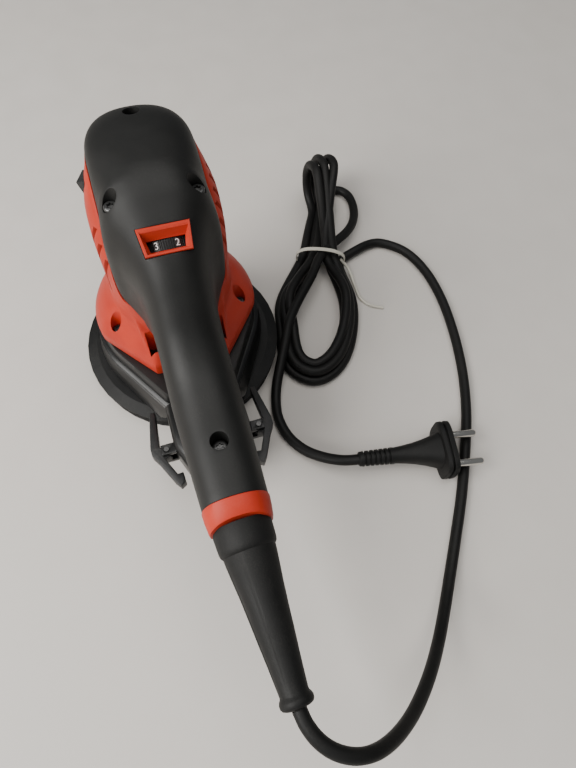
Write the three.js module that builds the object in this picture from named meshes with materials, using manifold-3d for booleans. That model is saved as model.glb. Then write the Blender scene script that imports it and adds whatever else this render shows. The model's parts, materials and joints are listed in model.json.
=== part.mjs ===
// Random orbital sander with an upright motor head, a rear bar handle, a round hook-face pad,
// a rear dust outlet with two side latches, and its mains lead with a moulded plug.
// Millimetres. +Z is up, +X runs back along the handle, and the origin is on the motor's axis
// at the underside of the sanding pad.
import * as THREE from 'three';
import { mergeVertices } from 'three/addons/utils/BufferGeometryUtils.js';
import Module from 'manifold-3d';

const wasm = await Module();
wasm.setup();

// ---------------------------------------------------------------- driving dimensions
const GAP = 0.3; // between pieces that touch
const WALL = 2.8; // moulded shells
const ECCENTRICITY = 1.25; // pad centre to motor axis, half of the 2.5 mm orbit
const PAD_RADIUS = 62.5; // 125 mm hook-face pad
const PAD_RIM_RADIUS = 64.2;
const FACING_TOP = 1.2;
const FOAM_TOP = 10.5;
const PLATE_TOP = 15;
const PLATE_BOSS_TOP = 18;
const DUST_HOLE_RADIUS = 4.5;
const DUST_HOLE_CIRCLE = 32.5;
const DUST_HOLES = 8;
const PAD_SCREW_CIRCLE = 12;
const SHAFT_RADIUS = 4;
const SHAFT_BOTTOM = 32.6;
const SHAFT_TOP = 139;
const PAD_BEARING_RADIUS = 14;
const FAN_RADIUS = 34.4;
const FAN_CHAMBER_RADIUS = 35.3;
const SHROUD_TOP = 44.8;
const BASE_BOTTOM = SHROUD_TOP + GAP;
const BASE_RADIUS = 49.2;
const BASE_REAR = [44.4, 22]; // x and half-width of the housing's blunt rear edge
const BASE_SCREWS = [[15, 37.2], [-24, 32.4]]; // mirrored about the centre plane
const SLOT = [26.4, 40, 14.6, 22.6]; // exhaust slots: x range and distances from the centre plane
const SLOT_FLOOR = 50;
const STATOR_RADIUS = 27.5;
const ARMATURE_RADIUS = 20.6;
const SPLIT_HEIGHT = 90; // between the cover and the handle's lower shell
const HANDLE_END = 146;
const RING_END = 157;
const HANDLE_SCREW_X = 120;
const COVER_SCREW = [14, 20.3];
const FRONT_SCREW = [-33, 0];
const DIAL_SLOPE = THREE.MathUtils.degToRad(34); // the roof falls towards the handle
const DIAL_WINDOW = [36.5, 0, 148.5];
const WINDOW = [-6.6, 6.6, 12.5, 11.1]; // x range, half-width in front and half-width behind
const DIAL_RADIUS = 13;
const DIAL_WIDTH = 5.6;
const DIAL_DEPTH = 16.5; // window surface to the wheel's axis
const SWITCH_TURN = THREE.MathUtils.degToRad(-28.5); // faces left and a little forwards
const SWITCH_OFFSET = -5.7;
const SWITCH_FACE = -34.2; // floor of the slide's recess
const SWITCH_TRAVEL = 6;
const OUTLET_START = 64.8;
const OUTLET_END = 106;
const OUTLET_BORE = 13.5;
const OUTLET_AXIS_HEIGHT = 33;
const LATCH_PIVOT = [90, 27.5];
const LATCH_PIN_RADIUS = 1.5;
const BOOT_START = [RING_END + GAP, 0, 85];
const BOOT_END = [234, 2.6, 77.4];
const CORD_RADIUS = 3.4;
const PLUG_FACE = [131, 142, 13];
const PLUG_TURN = THREE.MathUtils.degToRad(79.5);
const PIN_LENGTH = 19;
const PIN_SPACING = 19;
const PIN_RADIUS = 2.4;

// ---------------------------------------------------------------- colours
const RED = { color: 0xd8402a, roughness: 0.42, metalness: 0 };
const BLACK = { color: 0x26272a, roughness: 0.6, metalness: 0 };
const GLOSS = { color: 0x1b1c1e, roughness: 0.28, metalness: 0 };
const RUBBER = { color: 0x2b2b2b, roughness: 0.82, metalness: 0 };
const FOAM = { color: 0x3a3b3c, roughness: 0.95, metalness: 0 };
const STEEL = { color: 0xb9bcc0, roughness: 0.35, metalness: 1 };
const DARK_STEEL = { color: 0x55585c, roughness: 0.45, metalness: 1 };
const ALLOY = { color: 0xa7a9ab, roughness: 0.5, metalness: 1 };
const COPPER = { color: 0xb4693c, roughness: 0.4, metalness: 1 };
const NICKEL = { color: 0xd6d3cc, roughness: 0.2, metalness: 1 };
const BOARD = { color: 0x2f6b45, roughness: 0.6, metalness: 0 };

const part = new THREE.Group();

// ---------------------------------------------------------------- solids
// A closed solid from a geometry: shared vertices are merged and its faces are turned outwards.
function solid(geometry) {
  const bare = new THREE.BufferGeometry();
  bare.setAttribute('position', geometry.attributes.position);
  if (geometry.index) bare.setIndex(geometry.index);
  const merged = mergeVertices(bare, 1e-4);
  const points = merged.attributes.position.array;
  const index = merged.index.array;
  const triangles = [];
  let volume = 0;
  const [a, b, c] = [new THREE.Vector3(), new THREE.Vector3(), new THREE.Vector3()];
  for (let i = 0; i < index.length; i += 3) {
    const [p, q, r] = [index[i], index[i + 1], index[i + 2]];
    if (p === q || q === r || r === p) continue;
    a.fromArray(points, 3 * p);
    b.fromArray(points, 3 * q);
    c.fromArray(points, 3 * r);
    volume += a.dot(b.cross(c));
    triangles.push(p, q, r);
  }
  if (volume < 0) triangles.reverse();
  return new wasm.Manifold(new wasm.Mesh({
    numProp: 3,
    vertProperties: new Float32Array(points),
    triVerts: new Uint32Array(triangles),
  }));
}

function box(x0, x1, y0, y1, z0, z1) {
  const block = new THREE.BoxGeometry(x1 - x0, y1 - y0, z1 - z0);
  return solid(block.translate((x0 + x1) / 2, (y0 + y1) / 2, (z0 + z1) / 2));
}

// An upright cylinder.
function disc(radius, z0, z1, x = 0, y = 0, segments = 20) {
  const round = new THREE.CylinderGeometry(radius, radius, z1 - z0, segments);
  return solid(round.rotateX(Math.PI / 2).translate(x, y, (z0 + z1) / 2));
}

// A ring with an upright axis.
function ring(outer, inner, z0, z1, segments = 20) {
  return disc(outer, z0, z1, 0, 0, segments).subtract(disc(inner, z0 - 1, z1 + 1, 0, 0, segments));
}

// A cylinder between two points.
function rod(radius, from, to, segments = 12) {
  const start = new THREE.Vector3(...from);
  const along = new THREE.Vector3(...to).sub(start);
  const round = new THREE.CylinderGeometry(radius, radius, along.length(), segments);
  const turn = new THREE.Quaternion().setFromUnitVectors(
    new THREE.Vector3(0, 1, 0), along.clone().normalize());
  const middle = start.addScaledVector(along, 0.5);
  return solid(round.applyQuaternion(turn).translate(middle.x, middle.y, middle.z));
}

// A profile of [radius, height] pairs turned about the upright axis.
function turned(profile, segments = 40) {
  const points = profile.map(([r, z]) => new THREE.Vector2(r, z));
  return solid(new THREE.LatheGeometry(points, segments).rotateX(Math.PI / 2));
}

// A flat outline of [x, y] pairs raised from z0 to z1.
function slab(outline, z0, z1) {
  const shape = new THREE.Shape(outline.map(([x, y]) => new THREE.Vector2(x, y)));
  const raised = new THREE.ExtrudeGeometry(shape, { depth: z1 - z0, bevelEnabled: false });
  return solid(raised.translate(0, 0, z0));
}

// A side-view outline of [x, z] pairs carried across from y0 to y1.
function sideSlab(outline, y0, y1) {
  const shape = new THREE.Shape(outline.map(([x, z]) => new THREE.Vector2(x, z)));
  const raised = new THREE.ExtrudeGeometry(shape, { depth: y1 - y0, bevelEnabled: false });
  return solid(raised.rotateX(Math.PI / 2).translate(0, y1, 0));
}

// A skin over closed rings of points, all of one length, with a fan closing each end.
function skin(rings) {
  const count = rings[0].length;
  const points = rings.flat();
  const index = [];
  for (let row = 0; row + 1 < rings.length; row += 1) {
    for (let i = 0; i < count; i += 1) {
      const [a, b] = [row * count + i, row * count + ((i + 1) % count)];
      index.push(a, b, b + count, a, b + count, a + count);
    }
  }
  for (const row of [0, rings.length - 1]) {
    const centre = rings[row].reduce((sum, p) => sum.add(p), new THREE.Vector3());
    points.push(centre.divideScalar(count));
    for (let i = 0; i < count; i += 1) {
      const [a, b] = [row * count + i, row * count + ((i + 1) % count)];
      index.push(...(row === 0 ? [b, a] : [a, b]), points.length - 1);
    }
  }
  const geometry = new THREE.BufferGeometry().setFromPoints(points);
  return solid(geometry.setIndex(index));
}

// Points of a superellipse: power 2 is an ellipse, and a higher power is squarer.
function superellipse(place, count, power) {
  return Array.from({ length: count }, (_, i) => {
    const angle = (2 * Math.PI * i) / count;
    const bend = (value) => Math.sign(value) * Math.abs(value) ** (2 / power);
    return place(bend(Math.cos(angle)), bend(Math.sin(angle)));
  });
}

// A body of upright stations [z, centre x, half-length, half-width], grown by an offset.
function column(stations, offset = 0, power = 2.3, count = 28) {
  return skin(stations.map(([z, cx, hx, hy]) => superellipse(
    (u, v) => new THREE.Vector3(cx + u * (hx + offset), v * (hy + offset), z), count, power)));
}

// A body along X of stations [x, lowest z, highest z, half-width], grown by an offset.
function bar(stations, offset = 0, count = 24, power = 2.4) {
  return skin(stations.map(([x, low, high, hy]) => superellipse(
    (u, v) => new THREE.Vector3(x, u * (hy + offset),
      (low + high) / 2 + v * ((high - low) / 2 + offset)), count, power)));
}

// A round outline whose sides run on as tangents to a blunt rear edge.
function drop(z, radius, rearX, rearHalf, count = 32) {
  const corner = Math.atan2(rearHalf, rearX);
  const tangent = corner + Math.acos(radius / Math.hypot(rearX, rearHalf));
  const angles = [0, corner, tangent];
  for (let i = 1; i <= count / 2; i += 1) angles.push(tangent + ((Math.PI - tangent) * i) / (count / 2));
  const reach = (angle) => {
    if (angle <= corner + 1e-9) return rearX / Math.cos(angle);
    return angle < tangent ? radius / Math.cos(angle - tangent) : radius;
  };
  const left = angles.slice(1, -1).reverse().map((angle) => -angle);
  return [...angles, ...left].map((angle) => new THREE.Vector3(
    reach(Math.abs(angle)) * Math.cos(angle), reach(Math.abs(angle)) * Math.sin(angle), z));
}

function union(...solids) {
  return solids.reduce((sum, next) => sum.add(next));
}

// Adds a solid to the part as its own named mesh.
function piece(name, body, look) {
  const { vertProperties, triVerts } = body.getMesh();
  const geometry = new THREE.BufferGeometry();
  geometry.setAttribute('position', new THREE.BufferAttribute(new Float32Array(vertProperties), 3));
  geometry.setIndex(new THREE.BufferAttribute(new Uint32Array(triVerts), 1));
  geometry.computeVertexNormals();
  const mesh = new THREE.Mesh(geometry, new THREE.MeshStandardMaterial(look));
  mesh.name = name;
  part.add(mesh);
  return body;
}

// The same outline on both sides of the centre plane, with its sign.
const sides = [['left', -1], ['right', 1]];

// ---------------------------------------------------------------- sanding pad
function holesOnCircle(radius, circle, count, z0, z1, turn = 0) {
  const holes = Array.from({ length: count }, (_, i) => {
    const angle = turn + (2 * Math.PI * i) / count;
    return disc(radius, z0, z1, circle * Math.cos(angle), circle * Math.sin(angle), 10);
  });
  return union(...holes);
}

function buildPad() {
  const shift = [ECCENTRICITY, 0, 0];
  const dustHoles = holesOnCircle(DUST_HOLE_RADIUS, DUST_HOLE_CIRCLE, DUST_HOLES, -1, PLATE_TOP + 1,
    Math.PI / DUST_HOLES);
  const access = holesOnCircle(3.6, PAD_SCREW_CIRCLE, 4, -1, 13.8, Math.PI / 4);
  const shanks = holesOnCircle(2.3, PAD_SCREW_CIRCLE, 4, 13, 22.5, Math.PI / 4);
  const facing = disc(PAD_RADIUS, 0, FACING_TOP, 0, 0, 40);
  piece('hook_facing', facing.subtract(dustHoles).subtract(access).translate(shift), FOAM);
  const foam = turned([[0, FACING_TOP + GAP], [PAD_RADIUS, FACING_TOP + GAP],
    [PAD_RIM_RADIUS, FOAM_TOP], [0, FOAM_TOP]]);
  piece('pad_foam', foam.subtract(dustHoles).subtract(access).translate(shift), FOAM);
  const plateBottom = FOAM_TOP + GAP;
  const plate = turned([[0, plateBottom], [PAD_RIM_RADIUS, plateBottom], [PAD_RIM_RADIUS, 12.4],
    [57.5, PLATE_TOP], [22, PLATE_TOP], [20, PLATE_BOSS_TOP], [0, PLATE_BOSS_TOP]]);
  piece('pad_plate', plate.subtract(dustHoles).subtract(access).subtract(shanks).translate(shift), BLACK);
  for (let i = 0; i < 4; i += 1) {
    const angle = Math.PI / 4 + (Math.PI * i) / 2;
    const [x, y] = [PAD_SCREW_CIRCLE * Math.cos(angle), PAD_SCREW_CIRCLE * Math.sin(angle)];
    const screw = union(disc(3.2, 11, 13.5, x, y, 10), disc(2, 13.4, 21.4, x, y, 8));
    piece(`pad_screw_${i + 1}`, screw.translate(shift), STEEL);
  }
  const flangeBottom = PLATE_BOSS_TOP + GAP;
  const spindle = union(disc(17, flangeBottom, 22), disc(6, 21, 31.8, 0, 0, 16));
  piece('pad_spindle', spindle.subtract(shanks).translate(shift), STEEL);
}

// ---------------------------------------------------------------- rotor
function buildRotor() {
  const bore = disc(SHAFT_RADIUS + GAP, 30, 200, 0, 0, 16);
  const bearing = ring(PAD_BEARING_RADIUS, 6.3, 23.5, 31.5);
  piece('pad_bearing', bearing.translate([ECCENTRICITY, 0, 0]), STEEL);
  const sector = [[0, 0]];
  for (let i = 0; i <= 10; i += 1) {
    const angle = THREE.MathUtils.degToRad(110 + 14 * i);
    sector.push([33 * Math.cos(angle), 33 * Math.sin(angle)]);
  }
  const pocket = disc(PAD_BEARING_RADIUS + GAP, 20, 31.8, ECCENTRICITY, 0, 20);
  const eccentric = union(disc(19, 23, 36), slab(sector, 25, 34));
  piece('eccentric', eccentric.subtract(pocket).subtract(bore), ALLOY);
  const blades = (count, inner, outer, z0, z1) => union(...Array.from({ length: count }, (_, i) =>
    box(inner, outer, -0.8, 0.8, z0, z1).rotate([0, 0, (360 * i) / count])));
  const dustFan = union(disc(FAN_RADIUS, 36.3, 37.9, 0, 0, 32), disc(9, 37, 43, 0, 0, 16),
    blades(8, 6, FAN_RADIUS - 1, 37.5, 42.8));
  piece('dust_fan', dustFan.subtract(bore), BLACK);
  piece('motor_shaft', disc(SHAFT_RADIUS, SHAFT_BOTTOM, SHAFT_TOP, 0, 0, 16), STEEL);
  const coolingFan = union(disc(27.5, 60, 61.6, 0, 0, 28), disc(8, 60, 67.5, 0, 0, 16),
    blades(9, 6, 27, 61, 67));
  piece('cooling_fan', coolingFan.subtract(bore), BLACK);
  const laminations = [];
  for (let i = 0; i < 12; i += 1) {
    for (const [step, radius] of [[-10, ARMATURE_RADIUS], [10, ARMATURE_RADIUS], [12, 17.8], [18, 17.8]]) {
      const angle = THREE.MathUtils.degToRad(30 * i + step);
      laminations.push([radius * Math.cos(angle), radius * Math.sin(angle)]);
    }
  }
  const armature = union(slab(laminations, 75, 104), disc(16, 70, 75.5), disc(16, 103.5, 110));
  piece('armature', armature.subtract(bore), COPPER);
  piece('commutator', disc(11, 112, 124).subtract(bore), COPPER);
}

// ---------------------------------------------------------------- motor frame
function buildMotorFrame() {
  const bracket = union(disc(37, BASE_BOTTOM, 48.4, 0, 0, 32), disc(17, 48, 57));
  const seat = union(disc(13.3, 48.4, 58), disc(5.5, 40, 50, 0, 0, 16));
  piece('bearing_bracket', bracket.subtract(seat), ALLOY);
  piece('lower_bearing', ring(13, SHAFT_RADIUS + GAP, 48.7, 56.7), STEEL);
  const flats = box(-25.5, 25.5, -40, 40, 60, 120);
  piece('stator', ring(STATOR_RADIUS, 21.4, 72, 107, 32).intersect(flats), DARK_STEEL);
  for (const [side, sign] of sides) {
    const holder = box(-5, 5, Math.min(11.9 * sign, 25 * sign), Math.max(11.9 * sign, 25 * sign), 114, 122);
    piece(`brush_holder_${side}`, holder, ALLOY);
  }
  const spider = union(box(-12, -4, -29, 29, 126.5, 128.8), box(-13, 13, -20, 20, 126.5, 128.8),
    disc(13, 126.5, 137), ...sides.map(([, sign]) =>
      disc(3.4, 126.5, 130, COVER_SCREW[0], sign * COVER_SCREW[1], 12)));
  const cuts = union(disc(9.8, 129, 140), disc(5.5, 120, 140, 0, 0, 16),
    ...sides.map(([, sign]) => disc(1.9, 120, 140, COVER_SCREW[0], sign * COVER_SCREW[1], 8)));
  piece('upper_bracket', spider.subtract(cuts), BLACK);
  piece('upper_bearing', ring(9.5, SHAFT_RADIUS + GAP, 129.4, 136.4), STEEL);
}

// ---------------------------------------------------------------- casings
const BARREL = [[52, -3, 37.5, 35.8], [64, -3.5, 38, 34.6], [96, -4, 38.5, 33.4], [116, -4.6, 39.2, 32.8],
  [130, -5, 39.4, 32.6], [142, -5.4, 39.6, 32.2], [148, -5.6, 39.4, 30.8], [153, -6, 38.6, 27]];
const HEAD = [[84, -3, 36, 32], [106, -3.4, 36.8, 31.8], [120, -4.4, 38, 30.8], [132, -5.2, 38.8, 29.8],
  [144, -6, 39, 29], [152, -6.6, 38.4, 28], [157, -7.4, 36.4, 26], [161, -8, 32, 22.4],
  [164, -8.4, 25, 16.8], [165.4, -8.6, 14, 9.4]];
const HEAD_POWER = 2.6;
const HANDLE = [[4, 64, 162, 19], [20, 64, 157.5, 20.5], [34, 64, 149.8, 20.4], [46, 65, 140.5, 19.6],
  [58, 66, 128.5, 18.9], [70, 67, 117, 18.6], [84, 68, 109, 18.4], [100, 68.5, 106, 18],
  [122, 69, 104.4, 17], [HANDLE_END, 69.6, 102.6, 16]];

// Everything above the joint line between the red casing and the black cover.
function aboveJoint(lift) {
  const line = new THREE.SplineCurve([[-46, 150.5], [-20, 149], [-5, 141], [5, 127.5], [14, 110], [23, 96.5],
    [36, SPLIT_HEIGHT]].map(([x, z]) => new THREE.Vector2(x, z + lift)));
  const edge = line.getPoints(16).map((p) => [p.x, p.y]);
  return sideSlab([[-80, 153 + lift], ...edge, [160, SPLIT_HEIGHT + lift], [160, 220], [-80, 220]], -60, 60);
}

function buildShroud() {
  const outer = union(
    skin([drop(17, 53, 60, 27), drop(22, 53.4, 61, 27), drop(34.5, 50.6, 64.5, 21)]),
    skin([drop(34, 48.6, 62.5, 19.5), drop(SHROUD_TOP, 47.4, 60, 19)]),
    box(48, OUTLET_START - GAP, -21, 21, 20, 43.5));
  const inner = union(disc(48, 10, 34, 0, 0, 32), disc(FAN_CHAMBER_RADIUS, 30, 50, 0, 0, 32),
    box(30, 80, -15, 15, 23, 41));
  const screws = union(...BASE_SCREWS.flatMap(([x, y]) =>
    sides.map(([, sign]) => disc(2.1, 39.6, 50, x, sign * y, 8))));
  piece('dust_shroud', outer.subtract(inner).subtract(screws), GLOSS);
  piece('pad_brake_ring', ring(51.5, 48.5, 15.4, 16.7, 40), RUBBER);
}

// The flared foot of the red casing, grown by an offset.
function baseFlank(offset) {
  const [rearX, rearHalf] = BASE_REAR;
  return skin([[BASE_BOTTOM, BASE_RADIUS - 0.6, rearX, rearHalf], [48, BASE_RADIUS, rearX, rearHalf],
    [54, 49, 43.8, 22.2], [58, 47.2, 41.8, 22.2], [61, 45.4, 39.8, 22.2], [65, 42.6, 36.6, 22.2],
    [70, 39.6, 33, 22.2], [76, 37, 29.8, 22.2],
  ].map(([z, radius, rear, half]) => drop(z, radius + offset, rear + offset, half + offset)));
}

function buildHousing() {
  const base = baseFlank(0);
  const corners = (z, front, frontHalf, rear, half) => [[front, -frontHalf], [rear, -half],
    [rear, half], [front, frontHalf]].map(([x, y]) => new THREE.Vector3(x, y, z));
  const spine = skin([corners(47, -4, 31, 43.6, 21.8), corners(51, -4, 31, 43.6, 21.8),
    corners(64, -4, 29, 31, 25)]);
  const shell = union(base, spine, column(BARREL));
  const chamber = union(disc(37.3, 40, 57, 0, 0, 32), column(BARREL, -WALL));
  const frontBoss = union(disc(4.6, 128, 147.5, ...FRONT_SCREW, 12),
    box(-44, FRONT_SCREW[0], FRONT_SCREW[1] - 2.5, FRONT_SCREW[1] + 2.5, 128, 147.5));
  let body = shell.subtract(chamber).add(frontBoss.intersect(column(BARREL, -0.5)));
  body = body.subtract(aboveJoint(-GAP / 2));
  body = body.subtract(disc(1.9, 133, 150, ...FRONT_SCREW, 8));
  for (const [, sign] of sides) {
    for (const [x, y] of BASE_SCREWS) {
      body = body.subtract(union(disc(3.7, 54, 84, x, sign * y, 12), disc(2.1, 40, 55, x, sign * y, 8)));
    }
    for (let i = 0; i < 5; i += 1) {
      const x = -8 + 5 * i;
      const low = Math.min(26 * sign, 40 * sign);
      body = body.subtract(box(x - 0.9, x + 0.9, low, low + 14, 82, 118 - 4 * i));
    }
    const slotLow = Math.min(SLOT[2] * sign, SLOT[3] * sign);
    body = body.subtract(box(SLOT[0], SLOT[1], slotLow, slotLow + SLOT[3] - SLOT[2], SLOT_FLOOR, 80));
  }
  const recess = box(SWITCH_OFFSET - 7, SWITCH_OFFSET + 7, -50, SWITCH_FACE, 117.5, 141.2);
  const slot = box(SWITCH_OFFSET - 1.7, SWITCH_OFFSET + 1.7, -50, -20, 124, 135.4);
  body = body.subtract(union(recess, slot).rotate([0, 0, THREE.MathUtils.radToDeg(SWITCH_TURN)]));
  piece('motor_housing', body, RED);

  for (const [side, sign] of sides) {
    const low = Math.min((SLOT[2] + GAP) * sign, (SLOT[3] - GAP) * sign);
    const width = SLOT[3] - SLOT[2] - 2 * GAP;
    const slits = [0, 1, 2, 3].map((i) => box(SLOT[0] + 1.9 + 2.4 * i, SLOT[0] + 3.1 + 2.4 * i,
      low + 1.2, low + width - 1.2, SLOT_FLOOR + 1, 60));
    const insert = box(SLOT[0] + GAP, SLOT[1] - GAP, low, low + width, SLOT_FLOOR + GAP, SLOT_FLOOR + 2);
    piece(`exhaust_grille_${side}`, insert.subtract(union(...slits)), BLACK);
    BASE_SCREWS.forEach(([x, y], i) => {
      const screw = union(disc(3.1, 54.3, 56.8, x, sign * y, 10), disc(1.8, 40.2, 54.4, x, sign * y, 8));
      piece(`base_screw_${side}_${i + 1}`, screw, STEEL);
    });
  }
}

// ---------------------------------------------------------------- cover and handle
// Turns a body made about the window's centre, with z out of the roof, into its place.
function onRoof(body) {
  return body.rotate([0, THREE.MathUtils.radToDeg(DIAL_SLOPE), 0]).translate(DIAL_WINDOW);
}

function buildCover() {
  const casing = union(column(HEAD, 0, HEAD_POWER), bar(HANDLE)).intersect(aboveJoint(GAP / 2));
  const hollow = union(column(HEAD, -WALL, HEAD_POWER).translate([0, 0, -WALL]), bar(HANDLE, -WALL),
    box(HANDLE_END - 6, HANDLE_END + 2, -10.5, 10.5, 80, 95));
  const bosses = union(
    ...sides.map(([, sign]) => disc(4.8, 130.4, 160, COVER_SCREW[0], sign * COVER_SCREW[1], 14)),
    disc(5.6, 148, 170, ...FRONT_SCREW, 14),
    disc(6.6, SPLIT_HEIGHT, 108, HANDLE_SCREW_X, 0, 16),
  ).intersect(union(column(HEAD, -0.4, HEAD_POWER), bar(HANDLE, -0.4))).intersect(aboveJoint(GAP / 2));
  const pockets = union(
    ...sides.flatMap(([, sign]) => [disc(3.9, 149.6, 180, COVER_SCREW[0], sign * COVER_SCREW[1], 14),
      disc(1.9, 129, 152, COVER_SCREW[0], sign * COVER_SCREW[1], 8)]),
    disc(4.1, 155, 180, ...FRONT_SCREW, 14), disc(1.9, 140, 157, ...FRONT_SCREW, 8),
    disc(4.4, 93, 130, HANDLE_SCREW_X, 0, 16), disc(2.2, 80, 95, HANDLE_SCREW_X, 0, 8));
  const window = onRoof(windowFrame(GAP, -9, 12));
  const body = casing.subtract(hollow).add(bosses).subtract(pockets).subtract(window);
  piece('top_cover', body, BLACK);

  const lowerShell = bar(HANDLE).subtract(aboveJoint(-GAP / 2)).subtract(column(BARREL, GAP))
    .subtract(baseFlank(GAP));
  const lowerHollow = union(bar(HANDLE, -WALL).subtract(box(-10, 40, -30, 30, 40, 67)),
    box(HANDLE_END - 6, HANDLE_END + 2, -10.5, 10.5, 75, 95));
  const lowerBoss = disc(5, 68, SPLIT_HEIGHT - GAP / 2, HANDLE_SCREW_X, 0, 14).intersect(bar(HANDLE, -0.4));
  const front = box(-60, 20, -60, 60, 0, 200);
  const lower = lowerShell.subtract(lowerHollow).add(lowerBoss)
    .subtract(disc(2, 73.6, 95, HANDLE_SCREW_X, 0, 8)).subtract(front);
  piece('handle_lower', lower, BLACK);

  const band = bar([[HANDLE_END + GAP, 69.6, 102.6, 16], [151, 70, 101.6, 15.6],
    [RING_END + 2, 70.8, 99.4, 14.4]]);
  const behind = sleeve(BOOT_START, BOOT_END, [[-GAP, 40, 40], [40, 40, 40]], 12);
  piece('handle_ring', band.subtract(rod(10, [140, 0, 85], [170, 0, 85], 16)).subtract(behind), RED);

  sides.forEach(([side, sign]) => {
    const [x, y] = [COVER_SCREW[0], sign * COVER_SCREW[1]];
    piece(`cover_screw_${side}`, union(disc(3.4, 149.9, 152.4, x, y, 10),
      disc(1.6, 127.4, 150, x, y, 8)), STEEL);
  });
  piece('cover_screw_front', union(disc(3.4, 155.3, 157.6, ...FRONT_SCREW, 10),
    disc(1.6, 135, 155.4, ...FRONT_SCREW, 8)), STEEL);
  piece('handle_screw', union(disc(3.8, 93.3, 96, HANDLE_SCREW_X, 0, 10),
    disc(1.7, 75, 93.4, HANDLE_SCREW_X, 0, 8)), STEEL);
}

// ---------------------------------------------------------------- controls
function buildDial() {
  const [x0, x1, front, rear] = WINDOW;
  const funnel = skin([trapezoid(-7, -1.4, 4.6, 9.4, 8.6), trapezoid(-3.6, -1.4, 4.6, 9.4, 8.6),
    trapezoid(1.5, x0 + 1.4, x1 - 1.2, front - 1.4, rear - 1.3)]);
  piece('dial_bezel', onRoof(windowFrame(0, -6, 0.9).subtract(funnel).subtract(wheelShape(0.7, 0.7))), RED);
  const knurls = union(...Array.from({ length: 20 }, (_, i) =>
    box(-4, 4, -0.5, 0.5, DIAL_RADIUS - 0.6, DIAL_RADIUS + 2).rotate([18 * i, 0, 0])
      .translate([1.8, 0, -DIAL_DEPTH])));
  piece('speed_dial', onRoof(wheelShape(0, 0).subtract(knurls)), BLACK);
  piece('speed_board', box(20, 46, -11, 11, 110, 111.6), BOARD);
}

// An upright-sided ring of four corners: x range, and half-widths at its front and rear.
function trapezoid(z, x0, x1, front, rear) {
  return [[x0, -front], [x1, -rear], [x1, rear], [x0, front]].map(([x, y]) => new THREE.Vector3(x, y, z));
}

// The window's outline, grown by an offset, from z0 to z1.
function windowFrame(offset, z0, z1) {
  const [x0, x1, front, rear] = WINDOW;
  return skin([z0, z1].map((z) => trapezoid(z, x0 - offset, x1 + offset, front + offset, rear + offset)));
}

// The thumbwheel about its own axis under the window, grown by the two offsets.
function wheelShape(radial, endways) {
  const half = DIAL_WIDTH / 2 + endways;
  return rod(DIAL_RADIUS + radial, [1.8 - half, 0, -DIAL_DEPTH], [1.8 + half, 0, -DIAL_DEPTH], 40);
}

function buildSwitch() {
  const turn = [0, 0, THREE.MathUtils.radToDeg(SWITCH_TURN)];
  const face = SWITCH_FACE - GAP;
  const plate = box(SWITCH_OFFSET - 6.2, SWITCH_OFFSET + 6.2, face - 1.6, face, 124.2, 140.6);
  const outline = [[face - 1, 126], [face - 1, 140], [face - 5.6, 138.6], [face - 5.2, 136.8],
    [face - 2, 126.6]];
  const shape = new THREE.Shape(outline.map(([y, z]) => new THREE.Vector2(y, z)));
  const knob = new THREE.ExtrudeGeometry(shape, { depth: 9, bevelEnabled: false });
  knob.applyMatrix4(new THREE.Matrix4().makeBasis(
    new THREE.Vector3(0, 1, 0), new THREE.Vector3(0, 0, 1), new THREE.Vector3(1, 0, 0)));
  knob.translate(SWITCH_OFFSET - 4.5, 0, 0);
  const stem = box(SWITCH_OFFSET - 1.2, SWITCH_OFFSET + 1.2, face - 1, -27.5, 130.6, 134.6);
  piece('power_slide', union(plate, solid(knob), stem).rotate(turn), BLACK);
  const body = box(SWITCH_OFFSET - 8, SWITCH_OFFSET + 8, -27, -17, 129.5, 141);
  piece('switch_body', body.rotate(turn), BLACK);
}

// ---------------------------------------------------------------- dust outlet and latches
function buildOutlet() {
  const [pivotX, pivotY] = LATCH_PIVOT;
  const rings = [[OUTLET_START, 20, 45, 23], [92, 20, 46, 23], [OUTLET_END, 19, 47, 17.8]];
  let body = bar(rings, 0, 28, 5);
  const throat = skin([[60, 15, 9], [74, 14, 9.5], [84, 13.5, 13.5], [OUTLET_END + 2, OUTLET_BORE,
    OUTLET_BORE]]
    .map(([x, half, height]) => superellipse((u, v) => new THREE.Vector3(x, u * half,
      (x < 80 ? 32 : OUTLET_AXIS_HEIGHT) + v * height), 28, x < 80 ? 5 : 2)));
  for (const [, sign] of sides) {
    const low = Math.min(21 * sign, (pivotY + 2.8) * sign);
    const ears = [[25, 28], [36, 39]].map(([z0, z1]) =>
      box(pivotX - 3, pivotX + 3, low, low + pivotY - 18.2, z0, z1));
    body = body.add(union(...ears))
      .subtract(disc(LATCH_PIN_RADIUS + GAP, 20, 45, pivotX, sign * pivotY, 12));
  }
  piece('dust_outlet', body.subtract(throat), GLOSS);
  for (const [side, sign] of sides) {
    piece(`latch_pin_${side}`, disc(LATCH_PIN_RADIUS, 24.6, 39.4, pivotX, sign * pivotY, 12), STEEL);
    const outline = [[63.6, 29.4], [63.6, 32.4], [66.4, 33.2], [86, 36.6], [90.5, 36.4], [95, 33.6],
      [108.5, 27.2], [112.5, 24.4], [110.6, 21.2], [104.6, 21.4], [105, 24.6], [94, 29.6], [93.4,
      26], [90, 24],
      [86.8, 26], [86.4, 31.4], [66.4, 29.6]].map(([x, y]) => [x, sign * y]);
    const latch = slab(outline, 28.4, 35.6)
      .subtract(disc(LATCH_PIN_RADIUS + GAP, 20, 45, pivotX, sign * pivotY, 12));
    piece(`latch_${side}`, latch, BLACK);
  }
}

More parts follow.
